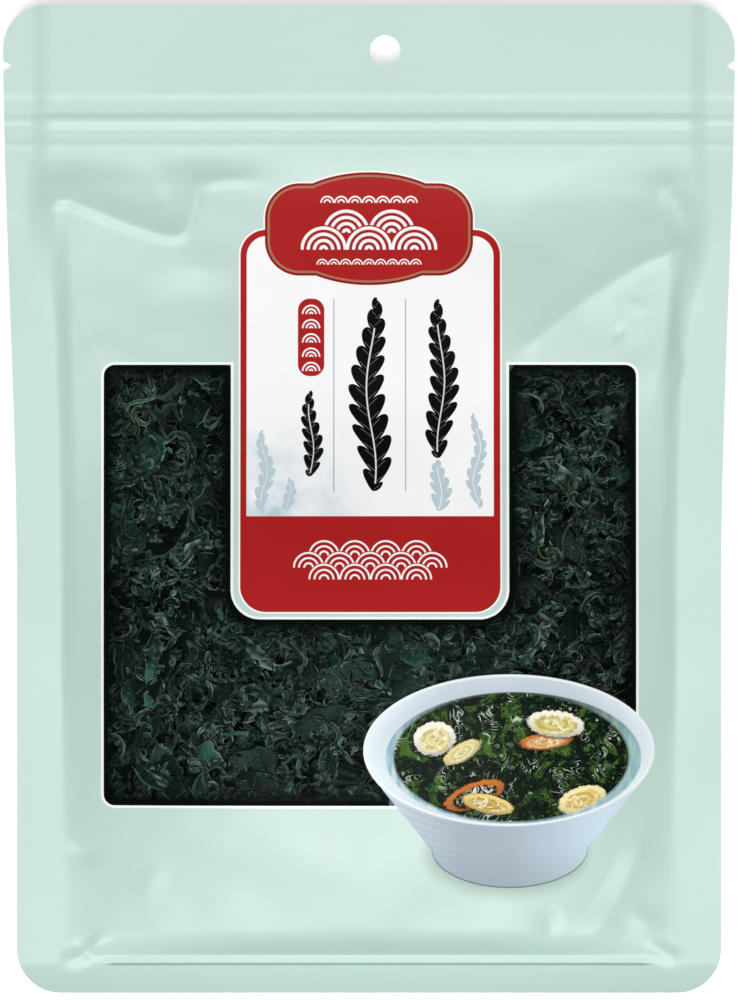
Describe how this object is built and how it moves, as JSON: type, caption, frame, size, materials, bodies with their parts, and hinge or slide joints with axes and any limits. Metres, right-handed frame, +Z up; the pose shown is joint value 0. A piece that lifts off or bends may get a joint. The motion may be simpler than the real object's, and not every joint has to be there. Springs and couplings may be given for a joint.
{
  "type": "pouch of dried wakame",
  "caption": "Sealed flat zipper pouch of pale green film, filled with curled dried cut wakame seen through a clear window; hang hole and tear notches in its header.",
  "frame": {"origin": "on the surface that the pouch lies on, under the middle of its outline", "axes": "+Z up, out of the printed front; +Y towards the hang hole; +X to the right as the front is read"},
  "size_m": [0.2, 0.27, 0.0318],
  "materials": {
    "mint_film": "satin printed laminate film",
    "clear_film": "clear glossy laminate film",
    "zipper_plastic": "milky polyethylene",
    "dried_wakame": "dry, dark green to black, faintly glossy seaweed"
  },
  "bodies": {
    "root": {"front_film": "mint_film", "back_film": "mint_film", "window_pane": "clear_film", "zipper_groove": "zipper_plastic", "zipper_rib": "zipper_plastic", "wakame_flakes": "dried_wakame"}
  },
  "joints": []
}
